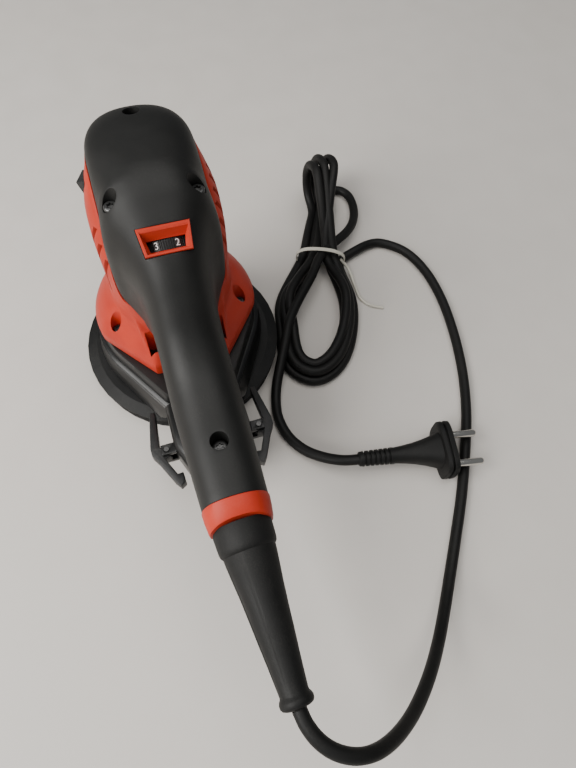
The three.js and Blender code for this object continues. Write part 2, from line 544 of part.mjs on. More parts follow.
// ---------------------------------------------------------------- mains lead
// Rings about a straight axis: stations [distance along it, half-width, half-height].
function sleeve(start, end, stations, count = 20, power = 2) {
  const origin = new THREE.Vector3(...start);
  const along = new THREE.Vector3(...end).sub(origin).normalize();
  const side = new THREE.Vector3(0, 0, 1).cross(along).normalize();
  const up = along.clone().cross(side);
  return skin(stations.map(([s, half, height]) => superellipse((u, v) => origin.clone()
    .addScaledVector(along, s).addScaledVector(side, u * half).addScaledVector(up, v * height),
      count, power)));
}

function tube(points, segments, steps) {
  const path = new THREE.CatmullRomCurve3(points.map((p) => new THREE.Vector3(...p)), false,
    'centripetal');
  const section = new THREE.Shape(Array.from({ length: segments }, (_, i) => new THREE.Vector2(
    CORD_RADIUS * Math.cos((2 * Math.PI * i) / segments),
      CORD_RADIUS * Math.sin((2 * Math.PI * i) / segments))));
  return solid(new THREE.ExtrudeGeometry(section, { extrudePath: path, steps, bevelEnabled: false }));
}

function buildBoot() {
  const boot = sleeve(BOOT_START, BOOT_END, [[0, 14.2, 14.4], [9, 13.8, 14], [12, 12.5, 12.7],
    [20, 11.5, 11.7], [38, 9.5, 9.6], [56, 7.8, 7.9], [72, 6.5, 6.5], [72.6, 8, 8], [75.4, 8.2,
    8.2], [77, 6.8, 6.8]], 24);
  const bore = sleeve(BOOT_START, BOOT_END, [[-2, CORD_RADIUS + 0.4, CORD_RADIUS + 0.4],
    [80, CORD_RADIUS + 0.4, CORD_RADIUS + 0.4]], 16);
  piece('cord_boot', boot.subtract(bore), RUBBER);
  piece('cord_clamp', box(131, 139, -10, 10, 80, 84.5), BLACK);
  piece('terminal_block', box(72, 98, -9, 9, 76, 86), BLACK);
}

// The lead's two free stretches, each a list of points from the tool outwards.
const LEAD_TO_HANK = [[234.4, 2.6, 77.3], [241, 3.8, 76.6], [248, 7, 75.6], [254, 12.5, 74],
  [258.4, 20.5, 71],
  [260, 30, 66], [258.6, 41, 58], [254.4, 53, 47.5], [247.6, 65, 37], [239, 76.6, 27], [228, 88.4, 17.6],
  [215, 100, 10], [199, 112.4, 5], [180, 125.6, 3.6], [157, 140.6, 3.6], [131, 155.6, 3.6], [107, 168, 3.6],
  [80, 178.5, 3.6], [50, 186.4, 3.6], [18, 191, 3.6], [-10, 190, 3.6], [-32, 182.4, 3.6], [-45, 168, 3.6],
  [-46.6, 157, 3.9], [-43.6, 147.9, 5.2]];
const LEAD_TO_PLUG = [[54, 54.6, 3.6], [63, 51.4, 3.6], [73, 49.8, 3.6], [84, 50.4, 3.6], [96, 54, 3.8],
  [107, 61, 5], [115, 71, 8.4], [119.4, 80, 11.6], [120.6, 85.4, 12.8]];

function buildLead() {
  piece('cord_to_hank', tube(LEAD_TO_HANK, 8, 46), RUBBER);
  piece('cord_to_plug', tube(LEAD_TO_PLUG, 8, 12), RUBBER);
  const folds = sideSlab([[-112, 0.2], [-20, 0.2], [-20, 23], [-60, 32], [-90, 44], [-104, 44.4], [-115, 37],
    [-120, 24], [-118, 8]], 80, 170);
  const plan = [[-28, 91], [-22, 130], [-36, 146.4], [-50, 146.4], [-66, 160], [-112, 162], [-121, 156],
    [-120, 126], [-60, 102], [-40, 92]];
  const upper = folds.intersect(slab(plan, -1, 60));
  const teardrop = [[-40, 94], [-24, 84], [-4, 72], [14, 70], [34, 62.4], [44, 57], [52.1, 51], [55.1, 58.7],
    [64, 68], [68, 83], [65, 99], [50, 116], [28, 127.6], [-2, 134], [-30, 131]];
  piece('cord_hank', upper.add(slab(teardrop, 0.2, 20.6)), RUBBER);
}

function buildPlug() {
  const back = new THREE.Vector3(-Math.cos(PLUG_TURN), -Math.sin(PLUG_TURN), 0);
  const face = new THREE.Vector3(...PLUG_FACE);
  const rear = face.clone().addScaledVector(back, 60);
  const socket = (sign) => face.clone().add(new THREE.Vector3(-Math.sin(PLUG_TURN), Math.cos(PLUG_TURN), 0)
    .multiplyScalar((sign * PIN_SPACING) / 2));
  const body = sleeve(face.toArray(), rear.toArray(), [[0, 18.3, 12.6], [5, 18.4, 12.7], [5.2, 16.6, 11.2],
    [7, 16.6, 11.2], [7.2, 18.2, 12.6], [10.4, 17.8, 12.2], [10.8, 12.2, 10.6], [18, 9.8, 9.4],
    [25, 7.4, 8], [32, 6, 6.6], [40, 5.4, 5.6], [56, 4.5, 4.5]], 24, 2.5);
  const holes = union(...[-1, 1].map((sign) => rod(PIN_RADIUS + GAP,
    socket(sign).addScaledVector(back, -1).toArray(), socket(sign).addScaledVector(back, 5).toArray(), 16)));
  piece('plug_body', body.subtract(holes), RUBBER);
  [-1, 1].forEach((sign, i) => {
    const pin = rod(PIN_RADIUS, socket(sign).addScaledVector(back, 4.6).toArray(),
      socket(sign).addScaledVector(back, -PIN_LENGTH).toArray(), 16);
    piece(`plug_pin_${i + 1}`, pin, NICKEL);
  });
}

buildPad();
buildRotor();
buildMotorFrame();
buildShroud();
buildHousing();
buildCover();
buildDial();
buildSwitch();
buildOutlet();
buildBoot();
buildLead();
buildPlug();

export default part;
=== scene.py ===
"""Looks of a random orbital sander: soft black cover and bar handle, red casing, glossy dust
shroud, foam pad, and a mains lead folded into a hank. Shapes are worked out in millimetres in
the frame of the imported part, and are scaled to metres as their meshes are made."""

import json
import math

import bmesh
import bpy
import numpy as np
from mathutils import Matrix, Vector

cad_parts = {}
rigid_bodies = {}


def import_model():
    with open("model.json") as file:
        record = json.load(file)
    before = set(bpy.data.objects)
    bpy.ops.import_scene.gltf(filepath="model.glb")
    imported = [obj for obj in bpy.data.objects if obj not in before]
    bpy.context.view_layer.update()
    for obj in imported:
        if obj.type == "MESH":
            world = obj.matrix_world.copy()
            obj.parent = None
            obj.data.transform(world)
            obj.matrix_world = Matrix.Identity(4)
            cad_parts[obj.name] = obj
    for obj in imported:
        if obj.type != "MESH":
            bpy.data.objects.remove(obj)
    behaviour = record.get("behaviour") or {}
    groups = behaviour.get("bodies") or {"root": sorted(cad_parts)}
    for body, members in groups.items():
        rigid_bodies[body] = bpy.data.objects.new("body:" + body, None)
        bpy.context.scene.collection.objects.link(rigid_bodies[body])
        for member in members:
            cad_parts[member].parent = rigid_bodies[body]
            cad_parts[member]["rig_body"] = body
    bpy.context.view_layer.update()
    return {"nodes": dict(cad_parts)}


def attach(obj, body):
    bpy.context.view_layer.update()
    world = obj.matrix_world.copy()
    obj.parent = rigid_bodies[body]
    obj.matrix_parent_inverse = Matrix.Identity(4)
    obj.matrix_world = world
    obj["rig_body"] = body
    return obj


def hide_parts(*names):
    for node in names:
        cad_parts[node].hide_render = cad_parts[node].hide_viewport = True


MM = 0.001
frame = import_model()
nodes = frame["nodes"]


# ------------------------------------------------------------------ camera, floor and light
def set_up_view():
    """A camera close above the handle's end, looking down and forwards at the head."""
    lens = bpy.data.cameras.new("camera")
    lens.lens, lens.sensor_width, lens.clip_start = 27.05, 36, 0.01
    camera = bpy.data.objects.new("camera", lens)
    right, up, back = (0.3044, 0.9516, 0.0426), (-0.8519, 0.252, 0.459), (0.4261, -0.1761, 0.8874)
    camera.matrix_world = Matrix([[right[i], up[i], back[i], (0.22016, -0.01, 0.35213)[i]]
                                  for i in range(3)] + [[0, 0, 0, 1]])
    bpy.context.scene.collection.objects.link(camera)
    bpy.context.scene.camera = camera
    world = bpy.data.worlds.new("studio")
    world.use_nodes = True
    world.node_tree.nodes["Background"].inputs["Color"].default_value = (0.93, 0.96, 1, 1)
    world.node_tree.nodes["Background"].inputs["Strength"].default_value = 0.2
    bpy.context.scene.world = world
    for name, place, aim, size, power, colour in (
            ("window_light", (0.25, -0.92, 0.8), (0.1, -0.02, 0), 0.9, 27, (1, 0.985, 0.955)),
            ("ceiling_light", (-0.05, 0.1, 1.6), (0.05, 0.05, 0), 1.4, 15, (1, 0.98, 0.95)),
            ("rear_light", (1.1, -0.3, 0.6), (0.05, 0, 0.08), 0.7, 1.5, (1, 1, 1))):
        lamp = bpy.data.lights.new(name, "AREA")
        lamp.size, lamp.energy, lamp.color = size, power, colour
        light = bpy.data.objects.new(name, lamp)
        light.location = place
        light.rotation_euler = (Vector(aim) - Vector(place)).to_track_quat("-Z", "Y").to_euler()
        bpy.context.scene.collection.objects.link(light)


# ------------------------------------------------------------------ finishes
def socket(group, name, direction, value=None):
    """Adds a number socket to a node group's interface."""
    made = group.interface.new_socket(name=name, in_out=direction, socket_type="NodeSocketFloat")
    if value is not None:
        made.default_value = value


def node(tree, kind, place, **values):
    """Adds a shader node and sets its sockets, or else its own properties, by name."""
    made = tree.nodes.new(kind)
    made.location = place
    for key, value in values.items():
        if key in made.inputs:
            made.inputs[key].default_value = value
        else:
            setattr(made, key, value)
    return made


def make_grain_group():
    """Moulding grain: fine spark texture plus slow waviness gives Height, and broad cloudy
    patches give Tone, a value about one half."""
    group = bpy.data.node_groups.new("moulding_grain", "ShaderNodeTree")
    socket(group, "Scale", "INPUT", value=1.0)
    socket(group, "Height", "OUTPUT")
    socket(group, "Tone", "OUTPUT")
    start, end = node(group, "NodeGroupInput", (-900, 0)), node(group, "NodeGroupOutput", (500, 0))
    place = node(group, "ShaderNodeTexCoord", (-900, -200))
    scaled = node(group, "ShaderNodeVectorMath", (-700, 0), operation="SCALE")
    group.links.new(place.outputs["Object"], scaled.inputs[0])
    group.links.new(start.outputs["Scale"], scaled.inputs["Scale"])
    fine = node(group, "ShaderNodeTexNoise", (-500, 200), Scale=2600.0, Detail=2.0, Roughness=0.6)
    broad = node(group, "ShaderNodeTexNoise", (-500, -100), Scale=38.0, Detail=4.0, Roughness=0.55)
    wavy = node(group, "ShaderNodeTexNoise", (-500, -350), Scale=210.0, Detail=1.0, Roughness=0.5)
    for texture in (fine, broad, wavy):
        group.links.new(scaled.outputs[0], texture.inputs["Vector"])
    mix = node(group, "ShaderNodeMath", (-200, 100), operation="MULTIPLY_ADD")
    mix.inputs[1].default_value = 0.35
    group.links.new(wavy.outputs["Fac"], mix.inputs[0])
    group.links.new(fine.outputs["Fac"], mix.inputs[2])
    group.links.new(mix.outputs[0], end.inputs["Height"])
    group.links.new(broad.outputs["Fac"], end.inputs["Tone"])
    return group


def make_dust_group():
    """Dust mask: fine speckle gathered in cloudy patches, heavier on faces that look up."""
    group = bpy.data.node_groups.new("sanding_dust", "ShaderNodeTree")
    socket(group, "Amount", "INPUT", value=0.2)
    socket(group, "Mask", "OUTPUT")
    start, end = node(group, "NodeGroupInput", (-900, 0)), node(group, "NodeGroupOutput", (600, 0))
    place = node(group, "ShaderNodeTexCoord", (-900, -200))
    patches = node(group, "ShaderNodeTexNoise", (-650, 150), Scale=55.0, Detail=5.0, Roughness=0.65)
    specks = node(group, "ShaderNodeTexNoise", (-650, -150), Scale=1500.0, Detail=2.0, Roughness=0.7)
    for texture in (patches, specks):
        group.links.new(place.outputs["Object"], texture.inputs["Vector"])
    where = node(group, "ShaderNodeMapRange", (-400, 150))
    where.inputs["From Min"].default_value, where.inputs["From Max"].default_value = 0.42, 0.75
    spots = node(group, "ShaderNodeMapRange", (-400, -150))
    spots.inputs["From Min"].default_value, spots.inputs["From Max"].default_value = 0.45, 0.8
    group.links.new(patches.outputs["Fac"], where.inputs["Value"])
    group.links.new(specks.outputs["Fac"], spots.inputs["Value"])
    lie = node(group, "ShaderNodeNewGeometry", (-650, -400))
    split = node(group, "ShaderNodeSeparateXYZ", (-400, -400))
    up = node(group, "ShaderNodeMapRange", (-200, -400))
    up.inputs["From Min"].default_value, up.inputs["To Min"].default_value = -0.2, 0.15
    group.links.new(lie.outputs["Normal"], split.inputs[0])
    group.links.new(split.outputs["Z"], up.inputs["Value"])
    last = where.outputs[0]
    for factor in (spots.outputs[0], up.outputs[0], start.outputs["Amount"]):
        product = node(group, "ShaderNodeMath", (100, 0), operation="MULTIPLY")
        group.links.new(last, product.inputs[0])
        group.links.new(factor, product.inputs[1])
        last = product.outputs[0]
    group.links.new(last, end.inputs["Mask"])
    return group


grain_group, dust_group = make_grain_group(), make_dust_group()


def finish(name, dark, light, rough, grain=0.1, scale=1.0, dust=0.25, metal=0.0, specular=0.5,
           sheen=0.0):
    """A finish whose colour runs between two tones, with grain, uneven gloss and some dust."""
    material = bpy.data.materials.new(name)
    material.use_nodes = True
    tree = material.node_tree
    shader = tree.nodes["Principled BSDF"]
    shader.inputs["Metallic"].default_value = metal
    shader.inputs["Specular IOR Level"].default_value = specular
    shader.inputs["Sheen Weight"].default_value = sheen
    shader.inputs["Sheen Roughness"].default_value = 0.6
    texture = node(tree, "ShaderNodeGroup", (-900, 0), node_tree=grain_group)
    texture.inputs["Scale"].default_value = scale
    dirt = node(tree, "ShaderNodeGroup", (-900, -300), node_tree=dust_group)
    dirt.inputs["Amount"].default_value = dust
    ramp = node(tree, "ShaderNodeValToRGB", (-650, 150))
    ramp.color_ramp.elements[0].position, ramp.color_ramp.elements[1].position = 0.34, 0.66
    ramp.color_ramp.elements[0].color, ramp.color_ramp.elements[1].color = (*dark, 1), (*light, 1)
    tree.links.new(texture.outputs["Tone"], ramp.inputs["Fac"])
    dusty = node(tree, "ShaderNodeMix", (-300, 150), data_type="RGBA")
    dusty.inputs[7].default_value = (0.42, 0.38, 0.33, 1)
    tree.links.new(dirt.outputs["Mask"], dusty.inputs[0])
    tree.links.new(ramp.outputs["Color"], dusty.inputs[6])
    tree.links.new(dusty.outputs[2], shader.inputs["Base Color"])
    gloss = node(tree, "ShaderNodeMapRange", (-600, -100))
    gloss.inputs["From Min"].default_value, gloss.inputs["From Max"].default_value = 0.3, 0.7
    gloss.inputs["To Min"].default_value = rough * 0.86
    gloss.inputs["To Max"].default_value = min(1.0, rough * 1.14)
    tree.links.new(texture.outputs["Tone"], gloss.inputs["Value"])
    duller = node(tree, "ShaderNodeMath", (-300, -100), operation="ADD", use_clamp=True)
    tree.links.new(gloss.outputs[0], duller.inputs[0])
    tree.links.new(dirt.outputs["Mask"], duller.inputs[1])
    tree.links.new(duller.outputs[0], shader.inputs["Roughness"])
    bump = node(tree, "ShaderNodeBump", (-300, -350), Strength=grain, Distance=0.0004)
    tree.links.new(texture.outputs["Height"], bump.inputs["Height"])
    tree.links.new(bump.outputs["Normal"], shader.inputs["Normal"])
    return material


red_shell = finish("red_shell", (0.37, 0.022, 0.009), (0.44, 0.03, 0.012), 0.46, grain=0.06,
                   dust=0.05, specular=0.25)
soft_black = finish("soft_black", (0.0052, 0.0053, 0.0048), (0.0075, 0.0075, 0.007), 0.5,
                    grain=0.16, dust=0.03, specular=0.3)
gloss_black = finish("gloss_black", (0.0045, 0.0047, 0.0047), (0.007, 0.0072, 0.0072), 0.32,
                     grain=0.03, dust=0.05, specular=0.34)
plain_black = finish("plain_black", (0.0075, 0.008, 0.0083), (0.0125, 0.013, 0.0133), 0.45,
                     grain=0.18, dust=0.15, specular=0.4)
boot_rubber = finish("boot_rubber", (0.0045, 0.0046, 0.0044), (0.0072, 0.0072, 0.007), 0.56,
                     grain=0.25, dust=0.05, specular=0.22)
cord_rubber = finish("cord_rubber", (0.0038, 0.0038, 0.0036), (0.0062, 0.0061, 0.0058), 0.52,
                     grain=0.2, scale=0.6, dust=0.05, specular=0.22)
pad_foam = finish("pad_foam", (0.0055, 0.0057, 0.006), (0.0095, 0.0097, 0.01), 0.8, grain=0.9,
                  scale=0.5, dust=0.12, specular=0.15)
pad_plate = finish("pad_plate", (0.0045, 0.0046, 0.0046), (0.0072, 0.0073, 0.0073), 0.55, grain=0.25,
                   dust=0.06, specular=0.25)
hook_face = finish("hook_face", (0.012, 0.012, 0.0125), (0.022, 0.022, 0.0225), 0.9, grain=1.0,
                   scale=0.8, dust=0.12, specular=0.2, sheen=0.1)
screw_black = finish("screw_black", (0.05, 0.05, 0.05), (0.11, 0.11, 0.11), 0.34, grain=0.1,
                     dust=0.1, metal=0.85)
bright_steel = finish("bright_steel", (0.5, 0.5, 0.51), (0.62, 0.62, 0.63), 0.3, grain=0.08,
                      dust=0.05, metal=1)
dark_iron = finish("dark_iron", (0.12, 0.12, 0.13), (0.2, 0.2, 0.21), 0.5, grain=0.3, dust=0.1,
                   metal=0.9)
cast_alloy = finish("cast_alloy", (0.38, 0.38, 0.39), (0.5, 0.5, 0.5), 0.55, grain=0.5, dust=0.1,
                    metal=0.9)
copper_wire = finish("copper_wire", (0.36, 0.12, 0.05), (0.6, 0.25, 0.12), 0.4, grain=0.5,
                     scale=0.4, dust=0.05, metal=1)
circuit_green = finish("circuit_green", (0.01, 0.09, 0.035), (0.02, 0.14, 0.06), 0.4, grain=0.1,
                       dust=0.05)
nickel = finish("nickel", (0.55, 0.53, 0.49), (0.7, 0.68, 0.64), 0.16, grain=0.02, dust=0.03,
                metal=1)
tie_paper = finish("tie_paper", (0.5, 0.48, 0.41), (0.66, 0.63, 0.54), 0.55, grain=0.3, dust=0.05)
numeral_white = finish("numeral_white", (0.75, 0.75, 0.74), (0.85, 0.85, 0.84), 0.5, grain=0.05,
                       dust=0.05)
floor_card = finish("floor_card", (0.545, 0.515, 0.48), (0.56, 0.53, 0.495), 0.7, grain=0.02, dust=0)

CAD_FINISHES = {
    hook_face: ["hook_facing"],
    pad_foam: ["pad_foam"],
    pad_plate: ["pad_plate"],
    plain_black: ["dust_fan", "cooling_fan", "upper_bracket", "switch_body", "cord_clamp",
                  "terminal_block", "brush_holder_left", "brush_holder_right",
                  "exhaust_grille_left", "exhaust_grille_right"],
    boot_rubber: ["pad_brake_ring"],
    bright_steel: ["pad_screw_1", "pad_screw_2", "pad_screw_3", "pad_screw_4", "pad_spindle",
                   "pad_bearing", "motor_shaft", "lower_bearing", "upper_bearing"],
    screw_black: ["latch_pin_left", "latch_pin_right"],
    cast_alloy: ["eccentric", "bearing_bracket"],
    copper_wire: ["armature", "commutator"],
    dark_iron: ["stator"],
    circuit_green: ["speed_board"],
}


# ------------------------------------------------------------------ mesh making
def build(name, points, faces, material, body, slot=None, smooth=36, stands_for=()):
    """A piece from points in millimetres and faces, smooth except at edges past an angle."""
    mesh = bpy.data.meshes.new(name)
    mesh.from_pydata((np.asarray(points, float) * MM).tolist(), [], [list(map(int, f)) for f in faces])
    mesh.validate()
    piece = bpy.data.objects.new(name, mesh)
    bpy.context.scene.collection.objects.link(piece)
    settle(piece, material, smooth)
    if body:
        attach(piece, body)
    if stands_for:
        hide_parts(*stands_for)
    return piece


def settle(piece, material, smooth):
    """Gives a piece its one material, and smooth shading except at edges past an angle."""
    mesh = piece.data
    mesh.materials.clear()
    mesh.materials.append(material)
    mesh.shade_smooth()
    mesh.set_sharp_from_angle(angle=math.radians(smooth))


def sheet_faces(rows, columns, closed):
    """Quads of a grid of rows by columns, whose columns may close on themselves."""
    r, c = np.meshgrid(np.arange(rows - 1), np.arange(columns if closed else columns - 1), indexing="ij")
    a, b = r * columns + c, r * columns + (c + 1) % columns
    return np.stack([a, b, b + columns, a + columns], -1).reshape(-1, 4).tolist()


def lofted(grid):
    """Points and faces of a closed skin over rings (rows, columns, 3), fanned to each end's middle.
    Turned over where its volume comes out negative, so that faces point outwards."""
    rows, columns, _ = grid.shape
    points = np.vstack([grid.reshape(-1, 3), grid[0].mean(0), grid[-1].mean(0)])
    faces = sheet_faces(rows, columns, True)
    first, last = rows * columns, rows * columns + 1
    top = (rows - 1) * columns
    faces += [[(i + 1) % columns, i, first] for i in range(columns)]
    faces += [[top + i, top + (i + 1) % columns, last] for i in range(columns)]
    volume = sum(points[f[0]] @ np.cross(points[f[i]], points[f[i + 1]])
                 for f in faces for i in range(1, len(f) - 1))
    return points, faces if volume > 0 else [f[::-1] for f in faces]


def joined(*parts):
    """Several skins as one list of points and faces."""
    points, faces = [], []
    for p, f in parts:
        shift = sum(len(q) for q in points)
        points.append(p)
        faces += [[i + shift for i in face] for face in f]
    return np.vstack(points), faces


def smooth_rows(table, steps):
    """Rows between the rows of a table, by a Catmull-Rom curve through each column."""
    t = np.asarray(table, float)
    ends = np.vstack([2 * t[0] - t[1], t, 2 * t[-1] - t[-2]])
    u = np.linspace(0, 1, steps, endpoint=False)[:, None]
    out = [0.5 * ((2 * b) + (c - a) * u + (2 * a - 5 * b + 4 * c - d) * u ** 2
                  + (3 * b - a - 3 * c + d) * u ** 3)
           for a, b, c, d in zip(ends[:-3], ends[1:-2], ends[2:-1], ends[3:])]
    return np.vstack(out + [t[-1:]])


def bend(value, power):
    """A power of a number's size that keeps its sign, which makes round rings squarish."""
    return np.sign(value) * np.abs(value) ** power


def frame_along(path):
    """Unit tangents and two unit normals at each point of a path, turning as little as possible."""
    t = np.gradient(path, axis=0)
    t /= np.linalg.norm(t, axis=1)[:, None]
    n = np.zeros_like(t)
    n[0] = np.cross(t[0], [0.13, 0.21, 0.97])
    n[0] /= np.linalg.norm(n[0])
    for i in range(1, len(t)):
        n[i] = n[i - 1] - t[i] * (n[i - 1] @ t[i])
        n[i] /= np.linalg.norm(n[i])
    return t, n, np.cross(t, n)


def swept(path, radius, columns):
    """A tube carried along a path of points: at each one, a circle square to the path."""
    _, n, b = frame_along(path)
    a = np.linspace(0, 2 * math.pi, columns, endpoint=False)
    grid = path[:, None] + radius * (np.cos(a)[None, :, None] * n[:, None]
                                     + np.sin(a)[None, :, None] * b[:, None])
    return lofted(grid)


def cut(piece, *cutters):
    """Takes closed skins out of a piece."""
    for points, faces in cutters:
        mesh = bpy.data.meshes.new("cutter")
        mesh.from_pydata((np.asarray(points) * MM).tolist(), [], [list(map(int, f)) for f in faces])
        tool = bpy.data.objects.new("cutter", mesh)
        bpy.context.scene.collection.objects.link(tool)
        step = piece.modifiers.new("cut", "BOOLEAN")
        step.operation, step.object, step.solver = "DIFFERENCE", tool, "EXACT"
        apply_all(piece)
        bpy.data.objects.remove(tool)


def apply_all(piece):
    """Bakes a piece's modifiers into its mesh."""
    bpy.context.view_layer.update()
    evaluated = piece.evaluated_get(bpy.context.evaluated_depsgraph_get())
    mesh = bpy.data.meshes.new_from_object(evaluated)
    piece.modifiers.clear()
    piece.data = mesh


def soften(piece, width, material, smooth=36, limit=30):
    """Rounds a piece's sharp edges to a small radius in millimetres."""
    step = piece.modifiers.new("edges", "BEVEL")
    step.width, step.segments, step.limit_method = width * MM, 2, "ANGLE"
    step.angle_limit = math.radians(limit)
    step.use_clamp_overlap = True
    apply_all(piece)
    settle(piece, material, smooth)


def refined(cad, name, material, width):
    """A copy of a CAD node with its points joined and its moulded edges rounded."""
    work = bmesh.new()
    work.from_mesh(nodes[cad].data)
    bmesh.ops.remove_doubles(work, verts=work.verts, dist=2e-6)
    bmesh.ops.dissolve_limit(work, angle_limit=math.radians(2), verts=work.verts, edges=work.edges)
    mesh = bpy.data.meshes.new(name)
    work.to_mesh(mesh)
    work.free()
    piece = bpy.data.objects.new(name, mesh)
    bpy.context.scene.collection.objects.link(piece)
    soften(piece, width, material)
    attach(piece, nodes[cad]["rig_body"])
    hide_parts(cad)


set_up_view()

# ------------------------------------------------------------------ mains lead
LEAD_RADIUS = 3.4
ON_FLOOR = 3.6
STEPS_BETWEEN, POINT_SPACING, ROUNDS = 10, 1.8, 22
LEAD_IN = [[234.4, 2.6, 77.3], [241, 3.8, 76.6], [248, 7, 75.6], [254, 12.5, 74], [258.4, 20.5, 71],
           [260, 30, 66], [258.6, 41, 58], [254.4, 53, 47.5], [247.6, 65, 37], [239, 76.6, 27],
           [228, 88.4, 17.6], [215, 100, 10], [199, 112.4, 5], [180, 125.6, 3.6], [157, 140.6, 3.6],
           [131, 155.6, 3.6], [107, 168, 3.6], [80, 178.5, 3.6], [50, 186.4, 3.6], [18, 191, 3.6],
           [-10, 190, 3.6], [-32, 182.4, 3.6], [-45, 168, 3.6], [-46.6, 157, 3.9], [-43.6, 147.9, 5.2]]
LEAD_OUT = [[-24, 103, 15.8], [-10, 90.5, 16.2], [2, 80, 16.3], [14, 71.5, 16.2], [25, 65.8, 14.6],
            [38, 58.8, 11], [51, 51.8, 6.4], [63, 47.4, 3.8], [75, 45.4, 3.6], [89, 47.5, 3.7],
            [101, 54.2, 4.4], [110, 63.6, 6.5], [117, 74.5, 10], [120.6, 85.4, 12.8]]
TIE = np.array([-39.5, 114.0])
HANK_ALONG, HANK_ACROSS = np.array([0.928, -0.371]), np.array([0.371, 0.928])
BOTTOM_LOOP = np.array([[-8, 127.4], [12.9, 122.7], [34.2, 112.3], [49.6, 99.4], [56.3, 85.3],
                        [54.2, 73], [42, 63], [25.4, 63.4], [10.2, 67.8], [-6.1, 71],
                        [-21.5, 79.6]])
# Each turn's lane: how far in from the outer strand, then the height, each at the tie and at the
# loop's far end.
LANES = [(0, 0, 3.6, 3.6), (6.9, 8.4, 3.6, 3.6), (3.4, 4.2, 9.6, 9.4), (6.6, 10.6, 14.8, 9.2)]
# Each strand's place at the tie: across the hank, and height.
RIGHT_SLOTS = [(13.6, 3.6), (6.8, 3.6), (10.2, 9.6), (3.4, 9.6)]
LEFT_SLOTS = [(-13.6, 3.6), (-6.8, 3.6), (0, 3.6), (-4, 9.6)]
TAIL_SLOT = (0, 15.4)
TOP_LOOPS = [(-91, 126), (-96, 133.5), (-94, 141)]
TOP_BEND = 20.4
SIDE_LOOP = [[-66, 122, 6.4], [-88, 131, 4.4], [-104, 141, 3.8], [-108.6, 152.4, 3.8], [-100, 160, 4],
             [-84, 159, 4.6], [-68, 151.6, 7], [-54, 138, 11.6]]


def lead_path():
    """The whole lead: from the boot to the hank, four turns of the hank, each a flat loop on one
    side of the tie and a fold on the other, and out to the plug. Three folds stand upright as half
    circles and the last lies flat beside them. A running average rounds the hank's joins."""
    ahead = np.gradient(BOTTOM_LOOP, axis=0)
    ahead /= np.linalg.norm(ahead, axis=1)[:, None]
    inwards = np.stack([ahead[:, 1], -ahead[:, 0]], -1)
    end_share = np.sin(np.linspace(0, math.pi, len(BOTTOM_LOOP)))[:, None] ** 2

    def at_tie(slot, along):
        """A point in a strand's place at the tie, or a little way along the hank from it."""
        return [*(TIE + slot[0] * HANK_ACROSS + along * HANK_ALONG), slot[1]]

    points = [list(p) for p in LEAD_IN] + [[-40.5, 138, 4.6]]
    for turn, (beside, end, low, high) in enumerate(LANES):
        points.append(at_tie(RIGHT_SLOTS[turn], 0))
        offset, height = beside + (end - beside) * end_share, low + (high - low) * end_share
        points += np.hstack([BOTTOM_LOOP + offset * inwards, height]).tolist()
        points.append(at_tie(LEFT_SLOTS[turn], -2))
        if turn == 3:
            points += SIDE_LOOP
            continue
        leave = np.array(points[-1])
        fold = np.array([*TOP_LOOPS[turn], ON_FLOOR])
        for s in (0.42, 0.78):
            step = leave + (fold - leave) * s
            points.append([step[0], step[1], ON_FLOOR + (leave[2] - ON_FLOOR) * max(0, 1 - 2.5 * s)])
        for angle in np.radians([-90, -50, -10, 30, 60, 90]):
            points.append([fold[0] - TOP_BEND * math.cos(angle), fold[1],
                           ON_FLOOR + TOP_BEND * (1 + math.sin(angle))])
        start, arrive = np.array(points[-1]), np.array(at_tie(RIGHT_SLOTS[turn + 1], 0))
        points += [list(start + (arrive - start) * np.array([s, s ** 0.9, s ** 1.25])) for s in (0.28, 0.58)]
    points += [at_tie(TAIL_SLOT, 0)] + LEAD_OUT
    rough = smooth_rows(np.array(points), STEPS_BETWEEN)
    share = np.full((len(rough) - 2, 1), 0.05)
    hank_start, hank_end = len(LEAD_IN), len(points) - len(LEAD_OUT)
    share[STEPS_BETWEEN * hank_start - 25:STEPS_BETWEEN * hank_end + 25] = 0.5
    for _ in range(ROUNDS):
        rough[1:-1] += share * ((rough[:-2] + rough[2:]) / 2 - rough[1:-1])
    rough[:, 2] = np.maximum(rough[:, 2], LEAD_RADIUS + 0.1)
    length = np.r_[0, np.cumsum(np.linalg.norm(np.diff(rough, axis=0), axis=1))]
    even = np.linspace(0, length[-1], int(length[-1] / POINT_SPACING))
    return np.stack([np.interp(even, length, rough[:, i]) for i in range(3)], -1), length[-1]


path, lead_length = lead_path()
lead = build("mains_lead", *swept(path, LEAD_RADIUS, 14), cord_rubber, "root", "rubber", 60,
             ("cord_to_hank", "cord_to_plug", "cord_hank"))


def tie_band():
    """A flat band round the hank at its tie, a closed outline about the strands with a thin wall,
    and its loose twisted tail lying on the floor."""
    a = np.linspace(0, 2 * math.pi, 72, endpoint=False)
    outline = np.stack([17.8 * bend(np.cos(a), 0.85), 10.2 + 9.4 * bend(np.sin(a), 0.85)], -1)
    grid = []
    for swell, along in ((0, -1.5), (0.55, -1.5), (0.7, 0), (0.55, 1.5), (0, 1.5), (0, -1.5)):
        ring = outline * (1 + swell / 14) - np.array([0, 10.2 * swell / 14])
        flat = TIE + ring[:, :1] * HANK_ACROSS + along * HANK_ALONG
        grid.append(np.column_stack([flat, ring[:, 1]]))
    grid = np.array(grid)
    band = (grid.reshape(-1, 3), sheet_faces(len(grid), 72, True))
    tail = smooth_rows([[-33.5, 128, 11], [-27, 133, 5], [-14, 133.4, 2], [-2, 133.6, 1.2], [6, 138.4, 1.2],
                        [11, 147, 1.2]], 8)
    return joined(band, swept(tail, 1.1, 8))


tie = build("lead_tie", *tie_band(), tie_paper, "root", None, 50)


